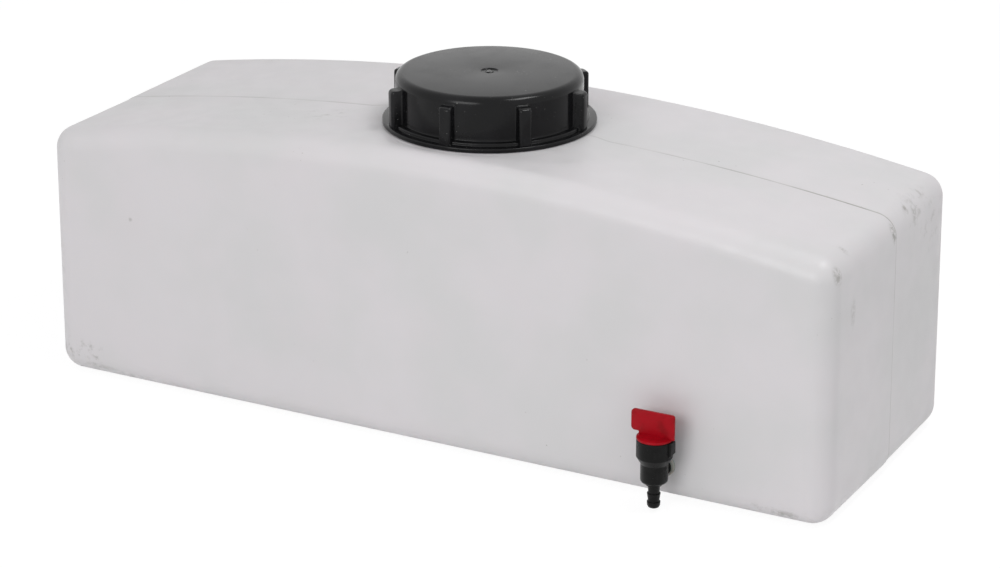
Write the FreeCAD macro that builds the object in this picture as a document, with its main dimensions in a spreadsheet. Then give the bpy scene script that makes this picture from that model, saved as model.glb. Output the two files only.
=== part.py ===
import FreeCAD, Part
import math
import os
import Sketcher

# Blow moulded water tank with a screw cap and a push-in drain tap.
# Millimetres, +Z up, +X along the tank, -Y to its front face.
# The origin lies on the base plane under the middle of the tank.

os.makedirs("parts", exist_ok=True)
doc = FreeCAD.newDocument("water_tank")
sheet = doc.addObject("Spreadsheet::Sheet", "Sizes")

SIZES = [
    ("TankLength", 508.0, "length of the front and rear faces at shoulder height"),
    ("TankDepth", 180.3, "front face to rear face"),
    ("EndHeight", 154.6, "height of the ends"),
    ("CrownRise", 23.0, "rise of the arched top over the ends"),
    ("BaseFlare", 1.9, "how far each end leans out at its foot"),
    ("TopSag", 2.0, "how far the crown sags at the parting line"),
    ("EndSag", 0.6, "how far the top sags at the ends of the parting line"),
    ("MouldDraft", 0.6, "how far the ends stand out at the parting line"),
    ("PartingShift", -3.5, "parting line from the middle of the depth"),
    ("PartingYaw", 1.35, "turn of the parting line in degrees"),
    ("MouldStep", 0.7, "mismatch of the two mould halves along the tank"),
    ("EdgeRadius", 13.75, "outside radius of the tank edges"),
    ("TankWall", 3.2, "wall of the moulding"),
    ("HollowBevel", 0.7, "bevel of the hollow's edges for each unit of their inside radius"),
    ("BaseFlat", 0.1, "how much the weight of the tank flattens its base"),
    ("NeckShift", 1.7, "filler neck from the middle of the length"),
    ("NeckRadius", 47.5, "filler neck outside its bore, at the thread root"),
    ("NeckWall", 4.0, "wall of the filler neck"),
    ("NeckLip", 1.0, "bevel on the rim of the filler neck"),
    ("LandRadius", 65.5, "flat land under the cap flange"),
    ("LandDrop", 0.2, "land below the crown of the parting line"),
    ("LandSlope", 3.0, "run of the land's blend for each unit of rise"),
    ("LandGap", 0.3, "gap between the cap flange and the land"),
    ("CapHeight", 30.1, "cap over all"),
    ("CapRadius", 55.1, "cap side wall"),
    ("CapWall", 3.1, "thickness of the cap side wall"),
    ("CapCrown", 3.0, "thickness of the cap top"),
    ("CapRound", 4.7, "round on the top edge of the cap"),
    ("FlangeRadius", 63.0, "cap flange"),
    ("FlangeThick", 2.5, "cap flange thickness"),
    ("LedgeRadius", 58.6, "step between the flange and the side wall"),
    ("LedgeHeight", 1.8, "height of that step"),
    ("RibCount", 8.0, "grip ribs round the cap"),
    ("RibWidth", 7.6, "grip rib across"),
    ("RibReach", 61.3, "radius of the outside of the grip ribs"),
    ("RibRound", 2.0, "round on the grip ribs"),
    ("RibDrop", 5.7, "grip ribs end this far below the cap top"),
    ("RibTurn", 2.9, "angle of the first grip rib in degrees"),
    ("GateRadius", 5.4, "shallow dish round the moulding gate"),
    ("GateDepth", 0.7, "depth of the gate dish"),
    ("GateStub", 2.6, "radius of the broken gate stub"),
    ("GateProud", 0.5, "stub above the floor of its dish"),
    ("GasketThick", 2.0, "cap gasket thickness"),
    ("GasketLap", 1.5, "gasket reaches this far inside the neck bore"),
    ("GasketGap", 0.3, "gasket to the inside of the cap"),
    ("TapPlace", 158.8, "tap from the middle of the length"),
    ("TapHeight", 21.9, "height of the tap inlet over the base"),
    ("TapStandoff", 14.6, "tap axis from the front face"),
    ("TipHeight", 2.0, "hose barb tip above the base plane"),
    ("BarbRadius", 3.8, "hose barb crest"),
    ("BarbRoot", 3.15, "hose barb root"),
    ("BarbPitch", 5.1, "one crest to the next"),
    ("BarbLand", 0.5, "cylindrical land on each crest"),
    ("BarbNose", 2.4, "radius of the flat end of the nose"),
    ("SpigotRadius", 3.5, "outlet spigot at its top"),
    ("SpigotLength", 13.8, "outlet spigot"),
    ("CollarRadius", 4.8, "collar over the spigot"),
    ("CollarHeight", 1.6, "height of that collar"),
    ("LowerRadius", 7.8, "lower part of the tap body"),
    ("LowerHeight", 11.6, "height of the lower part"),
    ("LowerBevel", 1.3, "bevel under the lower part"),
    ("ShoulderRise", 4.2, "taper between the two parts"),
    ("UpperRadius", 10.3, "upper part of the tap body"),
    ("UpperHeight", 10.3, "height of the upper part"),
    ("UpperBevel", 0.4, "bevel on the rim of the upper part"),
    ("LugReach", 11.2, "stop rib from the tap axis"),
    ("LugWidth", 6.0, "stop rib across"),
    ("LugHeight", 10.3, "stop rib height with its slope"),
    ("PortRadius", 1.6, "water way through the tap"),
    ("StubRadius", 3.4, "inlet stub"),
    ("StubPast", 4.0, "inlet stub past the inside of the wall"),
    ("StopRadius", 4.9, "collar that seats on the grommet"),
    ("StopThick", 1.4, "thickness of that collar"),
    ("PlugRadius", 5.0, "turning plug of the handle"),
    ("PlugGap", 0.05, "running clearance round the plug"),
    ("PlugFloor", 2.0, "thickness under the plug bore"),
    ("PlugEnd", 0.3, "gap under the plug"),
    ("SealThick", 1.4, "section of the square cut plug seal"),
    ("SealHeight", 32.8, "underside of the plug seal over the base"),
    ("SealPlay", 0.07, "room over and under the seal in its groove"),
    ("DiscRadius", 10.4, "handle disc"),
    ("DiscThick", 1.5, "handle disc thickness"),
    ("DiscBevel", 0.5, "bevel on the disc"),
    ("DiscGap", 0.2, "gap under the disc"),
    ("TabThick", 1.8, "handle tab thickness"),
    ("TabHeight", 14.0, "tab above the disc"),
    ("TabLong", 14.3, "long end of the tab from the axis"),
    ("TabShort", 11.9, "short end of the tab from the axis"),
    ("TabFoot", 9.9, "foot of the tab under its long end"),
    ("TabRaise", 1.4, "underside of the long end above the disc"),
    ("TabRound", 2.2, "corners at the long end"),
    ("TabCorner", 1.5, "top corner at the short end"),
    ("GrommetFlange", 6.2, "grommet flange"),
    ("GrommetThick", 2.6, "grommet flange thickness"),
    ("GrommetNeck", 4.9, "grommet neck and the hole in the wall"),
    ("GrommetBead", 6.0, "grommet bead inside the tank"),
    ("BeadLength", 2.2, "length of that bead"),
    ("GrommetBevel", 0.7, "bevel on the grommet flange"),
]

for row, (alias, number, meaning) in enumerate(SIZES, start=1):
    sheet.set(f"A{row}", meaning)
    sheet.set(f"B{row}", str(number))
    sheet.setAlias(f"B{row}", alias)
doc.recompute()

# Heights and places that several pieces share.
HALF_LENGTH = "Sizes.TankLength / 2"
HALF_DEPTH = "Sizes.TankDepth / 2"
LAND_TOP = "(Sizes.EndHeight + Sizes.CrownRise - Sizes.TopSag - Sizes.LandDrop)"
CAP_SEAT = f"({LAND_TOP} + Sizes.LandGap)"
CAP_INSIDE = "(Sizes.CapRadius - Sizes.CapWall)"
CAP_CEILING = "(Sizes.CapHeight - Sizes.CapCrown)"
NECK_TOP = f"({CAP_SEAT} + {CAP_CEILING} - Sizes.GasketThick)"
NECK_BORE = "(Sizes.NeckRadius - Sizes.NeckWall)"
FRONT = f"(0 - {HALF_DEPTH})"
TAP_AXIS = f"(0 - {HALF_DEPTH} - Sizes.TapStandoff)"
SPIGOT_TOP = "(Sizes.TipHeight + Sizes.SpigotLength)"
LOWER_FOOT = f"({SPIGOT_TOP} + Sizes.CollarHeight)"
LOWER_TOP = f"({LOWER_FOOT} + Sizes.LowerHeight)"
UPPER_FOOT = f"({LOWER_TOP} + Sizes.ShoulderRise)"
UPPER_TOP = f"({UPPER_FOOT} + Sizes.UpperHeight)"
PLUG_BORE = "(Sizes.PlugRadius + Sizes.PlugGap)"
BORE_FLOOR = f"({LOWER_FOOT} + Sizes.PlugFloor)"
PLUG_FOOT = f"({BORE_FLOOR} + Sizes.PlugEnd)"
DISC_FOOT = f"({UPPER_TOP} + Sizes.DiscGap)"
DISC_TOP = f"({DISC_FOOT} + Sizes.DiscThick)"
TAB_TOP = f"({DISC_TOP} + Sizes.TabHeight)"
SEAL_INSIDE = "(Sizes.PlugRadius - Sizes.SealThick)"
GROOVE_FOOT = "(Sizes.SealHeight - Sizes.SealPlay)"
GROOVE_TOP = "(Sizes.SealHeight + Sizes.SealThick + Sizes.SealPlay)"


def value(expression):
    """The number that an expression over the sheet gives."""
    return float(sheet.evalExpression(expression))


def bind(thing, **expressions):
    """Tie properties to the sheet; a double underscore stands for a dot."""
    for name, expression in expressions.items():
        thing.setExpression(name.replace("__", "."), expression)


def new_body(label, x="0", y="0", z="0"):
    """A body at a place given by expressions."""
    body = doc.addObject("PartDesign::Body", label)
    body.Label = label
    bind(body, Placement__Base__x=x, Placement__Base__y=y, Placement__Base__z=z)
    return body


def plane_of(body, role):
    return next(item for item in body.Origin.OriginFeatures if item.Role == role)


def pin_point(sketch, geometry, end, axis, expression):
    """Tie one coordinate of a sketch point to an expression."""
    if expression == "0":
        line = -2 if axis == "DistanceX" else -1
        sketch.addConstraint(Sketcher.Constraint("PointOnObject", geometry, end, line))
        return
    rule = Sketcher.Constraint(axis, -1, 1, geometry, end, value(expression))
    index = sketch.addConstraint(rule)
    sketch.setExpression(f"Constraints[{index}]", expression)


def arc_middle(start, end, radius):
    """The middle of the arc from start to end; a negative radius bulges to the right."""
    chord = end - start
    half = chord.Length / 2
    sagitta = abs(radius) - math.sqrt(max(radius * radius - half * half, 0.0))
    left = FreeCAD.Vector(-chord.y, chord.x, 0).normalize()
    return (start + end) / 2 + left * math.copysign(sagitta, radius)


def outline(body, name, role, corners):
    """A closed sketch; a corner's third item is the radius of the arc to the next corner."""
    sketch = body.newObject("Sketcher::SketchObject", name)
    sketch.AttachmentSupport = [(plane_of(body, role), "")]
    sketch.MapMode = "FlatFace"
    points = [FreeCAD.Vector(value(c[0]), value(c[1]), 0) for c in corners]
    starts = []
    for index, corner in enumerate(corners):
        start, end = points[index], points[(index + 1) % len(points)]
        if len(corner) == 3:
            sign = -1 if corner[2].startswith("-") else 1
            size = corner[2].lstrip("-")
            middle = arc_middle(start, end, sign * value(size))
            sketch.addGeometry(Part.Arc(start, middle, end))
            arc = sketch.Geometry[index]
            forward = (arc.StartPoint - start).Length < (arc.EndPoint - start).Length
            starts.append(1 if forward else 2)
            rule = sketch.addConstraint(Sketcher.Constraint("Radius", index, value(size)))
            sketch.setExpression(f"Constraints[{rule}]", size)
        else:
            sketch.addGeometry(Part.LineSegment(start, end))
            starts.append(1)
    for index, corner in enumerate(corners):
        after = (index + 1) % len(corners)
        link = Sketcher.Constraint("Coincident", index, 3 - starts[index], after, starts[after])
        sketch.addConstraint(link)
        pin_point(sketch, index, starts[index], "DistanceX", corner[0])
        pin_point(sketch, index, starts[index], "DistanceY", corner[1])
    return sketch


def turned(body, name, sketch, kind="PartDesign::Revolution"):
    """Turn an outline once round the body's upright axis."""
    feature = body.newObject(kind, name)
    feature.Profile = sketch
    feature.ReferenceAxis = (sketch, ["V_Axis"])
    feature.Angle = 360.0
    return feature


def raised(body, name, sketch, length, kind="PartDesign::Pad", midplane=False, back=False):
    """Pad or pocket an outline by a length."""
    feature = body.newObject(kind, name)
    feature.Profile = sketch
    bind(feature, Length=length)
    feature.Midplane = midplane
    feature.Reversed = back
    return feature


def edge_names(feature, wanted):
    """Names of the feature's edges that pass a test."""
    edges = enumerate(feature.Shape.Edges, start=1)
    return [f"Edge{index}" for index, edge in edges if wanted(edge)]


def cylinder(name, radius, height, x="0", y="0", z="0"):
    """An upright cylinder."""
    solid = doc.addObject("Part::Cylinder", name)
    bind(solid, Radius=radius, Height=height)
    bind(solid, Placement__Base__x=x, Placement__Base__y=y, Placement__Base__z=z)
    return solid


def fused(name, parts):
    joined = doc.addObject("Part::MultiFuse", name)
    joined.Shapes = parts
    joined.Refine = True
    return joined


def cut(name, base, tool):
    result = doc.addObject("Part::Cut", name)
    result.Base = base
    result.Tool = tool
    result.Refine = True
    return result


# Tank


def end_profile(body, name, wall, flare_at_line, crown, end_height, side_shift):
    """Profile of the tank along its length: flat base, leaning ends, arched top."""
    base_z = wall if wall != "0" else "0 - Sizes.BaseFlat"
    top_x = f"({HALF_LENGTH} + {flare_at_line} - {wall})"
    foot_x = f"({HALF_LENGTH} + {flare_at_line} + Sizes.BaseFlare - {wall})"
    top_z = f"({end_height} - {wall})"
    arch = f"(({top_x}) ^ 2 + ({crown}) ^ 2) / (2 * ({crown}))"
    corners = [
        (f"0 - {foot_x} + {side_shift}", base_z),
        (f"{foot_x} + {side_shift}", base_z),
        (f"{top_x} + {side_shift}", top_z, f"-{arch}"),
        (f"0 - {top_x} + {side_shift}", top_z),
    ]
    return outline(body, name, "XZ_Plane", corners)


def mould_half(name, side, wall):
    """One half of the tank's form, with round edges outside and plain bevels inside."""
    body = new_body(name)
    shift = "0" if side < 0 else "(0 - Sizes.MouldStep)"
    crown = "(Sizes.CrownRise - Sizes.TopSag + Sizes.EndSag)"
    parting = end_profile(body, name + "_parting", wall, "Sizes.MouldDraft", crown,
                          "(Sizes.EndHeight - Sizes.EndSag)", shift)
    parting.AttachmentOffset = FreeCAD.Placement(
        FreeCAD.Vector(), FreeCAD.Rotation(FreeCAD.Vector(0, 1, 0), value("Sizes.PartingYaw")))
    bind(parting, AttachmentOffset__Base__z="0 - Sizes.PartingShift",
         AttachmentOffset__Rotation__Angle="Sizes.PartingYaw")
    face = end_profile(body, name + "_face", wall, "0", "Sizes.CrownRise",
                       "Sizes.EndHeight", shift)
    reach = f"({HALF_DEPTH} - {wall})"
    bind(face, AttachmentOffset__Base__z=reach if side < 0 else f"0 - {reach}")
    loft = body.newObject("PartDesign::AdditiveLoft", name + "_loft")
    loft.Profile = parting if side < 0 else face
    loft.Sections = [face if side < 0 else parting]
    loft.Ruled = True
    doc.recompute()
    line = value("Sizes.PartingShift")

    def off_parting(edge):
        middle = edge.CenterOfMass
        half_turn = middle.x * math.tan(math.radians(value("Sizes.PartingYaw")))
        return abs(middle.y - line - half_turn) > 1.0

    edges = edge_names(loft, off_parting)
    if wall == "0":
        blended = body.newObject("PartDesign::Fillet", name + "_rounds")
        bind(blended, Radius="Sizes.EdgeRadius")
    else:
        blended = body.newObject("PartDesign::Chamfer", name + "_bevels")
        bind(blended, Size=f"(Sizes.EdgeRadius - {wall}) * Sizes.HollowBevel")
    blended.Base = (loft, edges)
    doc.recompute()
    return body


def tank_shell():
    wall = "Sizes.TankWall"
    outside = fused("tank_outside", [mould_half("front_half", -1, "0"),
                                     mould_half("rear_half", 1, "0")])
    inside = fused("tank_inside", [mould_half("front_hollow", -1, wall),
                                   mould_half("rear_hollow", 1, wall)])
    ground = doc.addObject("Part::Box", "ground")
    margin = "(2 * Sizes.EdgeRadius)"
    bind(ground, Length=f"Sizes.TankLength + 2 * {margin}", Height=margin,
         Width=f"Sizes.TankDepth + 2 * {margin}",
         Placement__Base__x=f"0 - {HALF_LENGTH} - {margin}",
         Placement__Base__y=f"0 - {HALF_DEPTH} - {margin}", Placement__Base__z=f"0 - {margin}")
    seated = cut("tank_seated", outside, ground)
    hollow = cut("tank_hollow", seated, inside)
    dish = doc.addObject("Part::Cone", "land_dish")
    rise = "(Sizes.TopSag + Sizes.LandDrop + 2)"
    bind(dish, Radius1="Sizes.LandRadius", Height=rise,
         Radius2=f"Sizes.LandRadius + Sizes.LandSlope * {rise}",
         Placement__Base__x="Sizes.NeckShift", Placement__Base__y="Sizes.PartingShift",
         Placement__Base__z=LAND_TOP)
    dished = cut("tank_dished", hollow, dish)
    neck_place = {"x": "Sizes.NeckShift", "y": "Sizes.PartingShift"}
    land = cylinder("land", "Sizes.LandRadius", wall, z=f"{LAND_TOP} - {wall}", **neck_place)
    neck = cylinder("neck", "Sizes.NeckRadius", f"{NECK_TOP} - {LAND_TOP} + {wall} / 2",
                    z=f"{LAND_TOP} - {wall} / 2", **neck_place)
    bevel = doc.addObject("Part::Chamfer", "neck_bevel")
    bevel.Base = neck
    doc.recompute()
    rim = [index for index, edge in enumerate(neck.Shape.Edges, start=1)
           if edge.CenterOfMass.z > value(NECK_TOP) - 1 and edge.Closed]
    lip = value("Sizes.NeckLip")
    bevel.Edges = [(index, lip, lip) for index in rim]
    built = fused("tank_with_neck", [dished, land, bevel])
    bore = cylinder("neck_bore", NECK_BORE, f"{NECK_TOP} - {LAND_TOP} + 4 * {wall}",
                    z=f"{LAND_TOP} - 2 * {wall}", **neck_place)
    outlet = cylinder("outlet_hole", "Sizes.GrommetNeck", f"3 * {wall}",
                      x="Sizes.TapPlace", y=f"{FRONT} + 2 * {wall}", z="Sizes.TapHeight")
    outlet.Placement.Rotation = FreeCAD.Rotation(FreeCAD.Vector(1, 0, 0), 90)
    return cut("tank_shell", built, fused("tank_openings", [bore, outlet]))


# Cap and gasket


def screw_cap():
    """Moulded cap: crown, side wall, flange and a step, then ribs and the gate mark."""
    body = new_body("screw_cap", "Sizes.NeckShift", "Sizes.PartingShift", CAP_SEAT)
    flat = "(Sizes.CapRadius - Sizes.CapRound)"
    corners = [
        ("0", CAP_CEILING),
        (CAP_INSIDE, CAP_CEILING),
        (CAP_INSIDE, "0"),
        ("Sizes.FlangeRadius", "0"),
        ("Sizes.FlangeRadius", "Sizes.FlangeThick"),
        ("Sizes.LedgeRadius", "Sizes.FlangeThick"),
        ("Sizes.LedgeRadius", "Sizes.FlangeThick + Sizes.LedgeHeight"),
        ("Sizes.CapRadius", "Sizes.FlangeThick + Sizes.LedgeHeight"),
        ("Sizes.CapRadius", "Sizes.CapHeight - Sizes.CapRound", "-Sizes.CapRound"),
        (flat, "Sizes.CapHeight"),
        ("Sizes.GateRadius", "Sizes.CapHeight"),
        ("Sizes.GateRadius - Sizes.GateDepth", "Sizes.CapHeight - Sizes.GateDepth"),
        ("Sizes.GateStub", "Sizes.CapHeight - Sizes.GateDepth"),
        ("Sizes.GateStub", "Sizes.CapHeight - Sizes.GateDepth + Sizes.GateProud"),
        ("0", "Sizes.CapHeight - Sizes.GateDepth + Sizes.GateProud"),
    ]
    turned(body, "cap_form", outline(body, "cap_section", "XZ_Plane", corners))
    doc.recompute()
    half = "Sizes.RibWidth / 2"
    root = f"({CAP_INSIDE} + Sizes.CapWall / 2)"
    inner = "(Sizes.RibReach - Sizes.RibRound)"
    rib_plan = outline(body, "rib_plan", "XY_Plane", [
        (root, f"0 - {half}"),
        (inner, f"0 - {half}", "-Sizes.RibRound"),
        ("Sizes.RibReach", f"0 - {half} + Sizes.RibRound"),
        ("Sizes.RibReach", f"{half} - Sizes.RibRound", "-Sizes.RibRound"),
        (inner, half),
        (root, half),
    ])
    rib_plan.AttachmentOffset = FreeCAD.Placement(
        FreeCAD.Vector(), FreeCAD.Rotation(FreeCAD.Vector(0, 0, 1), value("Sizes.RibTurn")))
    bind(rib_plan, AttachmentOffset__Base__z="Sizes.FlangeThick / 2",
         AttachmentOffset__Rotation__Angle="Sizes.RibTurn")
    rib_tall = "Sizes.CapHeight - Sizes.RibDrop - Sizes.FlangeThick / 2"
    rib = raised(body, "grip_rib", rib_plan, rib_tall)
    doc.recompute()
    ring = body.newObject("PartDesign::PolarPattern", "grip_ribs")
    ring.Originals = [rib]
    ring.Axis = (plane_of(body, "Z_Axis"), [""])
    ring.Angle = 360.0
    bind(ring, Occurrences="Sizes.RibCount")
    body.Tip = ring
    doc.recompute()
    top = "(Sizes.CapHeight - Sizes.RibDrop)"
    past = "(Sizes.RibReach + 1)"
    rounding = outline(body, "rib_top_section", "XZ_Plane", [
        ("Sizes.RibReach", f"{top} - Sizes.RibRound", "Sizes.RibRound"),
        (inner, top),
        (inner, f"{top} + 1"),
        (past, f"{top} + 1"),
        (past, f"{top} - Sizes.RibRound"),
    ])
    turned(body, "rib_tops", rounding, kind="PartDesign::Groove")
    doc.recompute()
    return body


def cap_gasket():
    body = new_body("cap_gasket", "Sizes.NeckShift", "Sizes.PartingShift", NECK_TOP)
    inner = f"{NECK_BORE} - Sizes.GasketLap"
    outer = f"{CAP_INSIDE} - Sizes.GasketGap"
    turned(body, "gasket_ring", outline(body, "gasket_section", "XZ_Plane", [
        (inner, "0"), (outer, "0"), (outer, "Sizes.GasketThick"), (inner, "Sizes.GasketThick")]))
    return body


# Grommet, tap body, handle and seal


def outlet_grommet():
    """Push-in rubber grommet, turned round the inlet's axis."""
    body = new_body("outlet_grommet", "Sizes.TapPlace", FRONT, "Sizes.TapHeight")
    body.Placement.Rotation = FreeCAD.Rotation(FreeCAD.Vector(1, 0, 0), 90)
    tip = "(0 - Sizes.TankWall - Sizes.BeadLength)"
    turned(body, "grommet_form", outline(body, "grommet_section", "XZ_Plane", [
        ("Sizes.StubRadius", tip),
        ("Sizes.GrommetNeck", tip),
        ("Sizes.GrommetBead", "0 - Sizes.TankWall - Sizes.BeadLength / 3"),
        ("Sizes.GrommetBead", "0 - Sizes.TankWall"),
        ("Sizes.GrommetNeck", "0 - Sizes.TankWall"),
        ("Sizes.GrommetNeck", "0"),
        ("Sizes.GrommetFlange", "0"),
        ("Sizes.GrommetFlange", "Sizes.GrommetThick - Sizes.GrommetBevel"),
        ("Sizes.GrommetFlange - Sizes.GrommetBevel", "Sizes.GrommetThick"),
        ("Sizes.StubRadius", "Sizes.GrommetThick"),
    ]))
    return body


def tap_form_corners():
    """Outside of the tap body from the nose of its hose barb to its rim."""
    low_crest = "(Sizes.TipHeight + Sizes.BarbRadius - Sizes.BarbLand)"
    low_shoulder = f"({low_crest} + Sizes.BarbLand)"
    high_shoulder = f"({low_shoulder} + Sizes.BarbPitch)"
    return [
        ("0", "Sizes.TipHeight"),
        ("Sizes.BarbNose", "Sizes.TipHeight"),
        ("Sizes.BarbRadius", low_crest),
        ("Sizes.BarbRadius", low_shoulder),
        ("Sizes.BarbRoot", low_shoulder),
        ("Sizes.BarbRadius", f"{high_shoulder} - Sizes.BarbLand"),
        ("Sizes.BarbRadius", high_shoulder),
        ("Sizes.BarbRoot", high_shoulder),
        ("Sizes.SpigotRadius", SPIGOT_TOP),
        ("Sizes.CollarRadius", SPIGOT_TOP),
        ("Sizes.CollarRadius", LOWER_FOOT),
        ("Sizes.LowerRadius - Sizes.LowerBevel", LOWER_FOOT),
        ("Sizes.LowerRadius", f"{LOWER_FOOT} + Sizes.LowerBevel"),
        ("Sizes.LowerRadius", LOWER_TOP),
        ("Sizes.UpperRadius", UPPER_FOOT),
        ("Sizes.UpperRadius", f"{UPPER_TOP} - Sizes.UpperBevel"),
        ("Sizes.UpperRadius - Sizes.UpperBevel", UPPER_TOP),
        ("0", UPPER_TOP),
    ]


def round_on_face(body, name, radius, x="0", y="0"):
    """A circle on the plane that looks along Y."""
    sketch = body.newObject("Sketcher::SketchObject", name)
    sketch.AttachmentSupport = [(plane_of(body, "XZ_Plane"), "")]
    sketch.MapMode = "FlatFace"
    centre = FreeCAD.Vector(value(x), value(y), 0)
    sketch.addGeometry(Part.Circle(centre, FreeCAD.Vector(0, 0, 1), value(radius)))
    rule = sketch.addConstraint(Sketcher.Constraint("Radius", 0, value(radius)))
    sketch.setExpression(f"Constraints[{rule}]", radius)
    pin_point(sketch, 0, 3, "DistanceX", x)
    pin_point(sketch, 0, 3, "DistanceY", y)
    return sketch


def valve_body():
    """Tap body in one moulding: barbed spigot, plug housing, stop rib and inlet stub."""
    body = new_body("valve_body", "Sizes.TapPlace", TAP_AXIS)
    turned(body, "tap_form", outline(body, "tap_section", "XZ_Plane", tap_form_corners()))
    doc.recompute()
    lug_root = "(Sizes.UpperRadius - 2)"
    lug_foot = f"({UPPER_TOP} - Sizes.LugHeight)"
    lug = outline(body, "lug_side", "XZ_Plane", [
        (lug_root, lug_foot),
        ("Sizes.LugReach", f"{lug_foot} + Sizes.LugReach - {lug_root}"),
        ("Sizes.LugReach", UPPER_TOP),
        (lug_root, UPPER_TOP),
    ])
    raised(body, "stop_lug", lug, "Sizes.LugWidth", midplane=True)
    doc.recompute()
    stub = round_on_face(body, "stub_round", "Sizes.StubRadius", y="Sizes.TapHeight")
    reach = "(Sizes.TapStandoff + Sizes.TankWall + Sizes.StubPast)"
    raised(body, "inlet_stub", stub, reach, back=True)
    doc.recompute()
    seat = round_on_face(body, "stop_round", "Sizes.StopRadius", y="Sizes.TapHeight")
    raised(body, "inlet_stop", seat, "Sizes.StopThick", back=True)
    start = "(Sizes.TapStandoff - Sizes.GrommetThick - Sizes.StopThick)"
    bind(seat, AttachmentOffset__Base__z=f"0 - {start}")
    doc.recompute()
    bore = outline(body, "bore_section", "XZ_Plane", [
        ("0", "Sizes.TipHeight - 1"),
        ("Sizes.PortRadius", "Sizes.TipHeight - 1"),
        ("Sizes.PortRadius", BORE_FLOOR),
        (PLUG_BORE, BORE_FLOOR),
        (PLUG_BORE, f"{UPPER_TOP} + 1"),
        ("0", f"{UPPER_TOP} + 1"),
    ])
    turned(body, "plug_bore", bore, kind="PartDesign::Groove")
    doc.recompute()
    way = round_on_face(body, "inlet_way_round", "Sizes.PortRadius", y="Sizes.TapHeight")
    raised(body, "inlet_way", way, f"{reach} + 1", kind="PartDesign::Pocket")
    doc.recompute()
    return body


def valve_handle():
    """Handle in one moulding: plug with its water way, disc and thumb tab."""
    body = new_body("valve_handle", "Sizes.TapPlace", TAP_AXIS)
    turned(body, "plug_form", outline(body, "plug_section", "XZ_Plane", [
        ("0", PLUG_FOOT),
        ("Sizes.PlugRadius", PLUG_FOOT),
        ("Sizes.PlugRadius", GROOVE_FOOT),
        (SEAL_INSIDE, GROOVE_FOOT),
        (SEAL_INSIDE, GROOVE_TOP),
        ("Sizes.PlugRadius", GROOVE_TOP),
        ("Sizes.PlugRadius", DISC_FOOT),
        ("Sizes.DiscRadius", DISC_FOOT),
        ("Sizes.DiscRadius", f"{DISC_TOP} - Sizes.DiscBevel"),
        ("Sizes.DiscRadius - Sizes.DiscBevel", DISC_TOP),
        ("0", DISC_TOP),
    ]))
    doc.recompute()
    foot = f"({DISC_TOP} - Sizes.DiscBevel)"
    under = f"({DISC_TOP} + Sizes.TabRaise)"
    tab = outline(body, "tab_side", "XZ_Plane", [
        ("0 - Sizes.TabFoot", foot),
        ("Sizes.TabShort", foot),
        ("Sizes.TabShort", f"{TAB_TOP} - Sizes.TabCorner", "-Sizes.TabCorner"),
        ("Sizes.TabShort - Sizes.TabCorner", TAB_TOP),
        ("0 - Sizes.TabLong + Sizes.TabRound", TAB_TOP, "-Sizes.TabRound"),
        ("0 - Sizes.TabLong", f"{TAB_TOP} - Sizes.TabRound"),
        ("0 - Sizes.TabLong", f"{under} + Sizes.TabRound", "-Sizes.TabRound"),
        ("0 - Sizes.TabLong + Sizes.TabRound", under),
        ("0 - Sizes.TabFoot", under),
    ])
    raised(body, "thumb_tab", tab, "Sizes.TabThick", midplane=True)
    doc.recompute()
    port = body.newObject("Sketcher::SketchObject", "port_round")
    port.AttachmentSupport = [(plane_of(body, "YZ_Plane"), "")]
    port.MapMode = "FlatFace"
    centre = FreeCAD.Vector(0, value("Sizes.TapHeight"), 0)
    port.addGeometry(Part.Circle(centre, FreeCAD.Vector(0, 0, 1), value("Sizes.PortRadius")))
    rule = port.addConstraint(Sketcher.Constraint("Radius", 0, value("Sizes.PortRadius")))
    port.setExpression(f"Constraints[{rule}]", "Sizes.PortRadius")
    pin_point(port, 0, 3, "DistanceX", "0")
    pin_point(port, 0, 3, "DistanceY", "Sizes.TapHeight")
    raised(body, "side_port", port, "Sizes.PlugRadius + 1", kind="PartDesign::Pocket", back=True)
    doc.recompute()
    down = outline(body, "down_section", "XZ_Plane", [
        ("0", f"{PLUG_FOOT} - 1"),
        ("Sizes.PortRadius", f"{PLUG_FOOT} - 1"),
        ("Sizes.PortRadius", "Sizes.TapHeight"),
        ("0", "Sizes.TapHeight"),
    ])
    turned(body, "down_way", down, kind="PartDesign::Groove")
    doc.recompute()
    return body


def plug_seal():
    """Square cut ring in the groove of the plug."""
    body = new_body("plug_seal", "Sizes.TapPlace", TAP_AXIS, "Sizes.SealHeight")
    turned(body, "seal_ring", outline(body, "seal_section", "XZ_Plane", [
        (SEAL_INSIDE, "0"), ("Sizes.PlugRadius", "0"),
        ("Sizes.PlugRadius", "Sizes.SealThick"), (SEAL_INSIDE, "Sizes.SealThick")]))
    return body


pieces = [tank_shell(), screw_cap(), cap_gasket(), outlet_grommet(),
          valve_body(), valve_handle(), plug_seal()]
doc.recompute()

for thing in doc.Objects:
    if "Invalid" in thing.State or "Error" in thing.State:
        raise RuntimeError(f"{thing.Label} failed: {thing.State}")
for piece in pieces:
    shape = piece.Shape
    if shape.isNull() or not shape.isValid() or len(shape.Solids) != 1:
        raise RuntimeError(f"{piece.Label} is not one valid solid")
    shape.exportStep(f"parts/{piece.Label}.step")
    print(piece.Label, round(shape.Volume, 1))
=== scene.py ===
import math

import bmesh
import bpy
import numpy as np
from mathutils import Matrix, Vector


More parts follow.
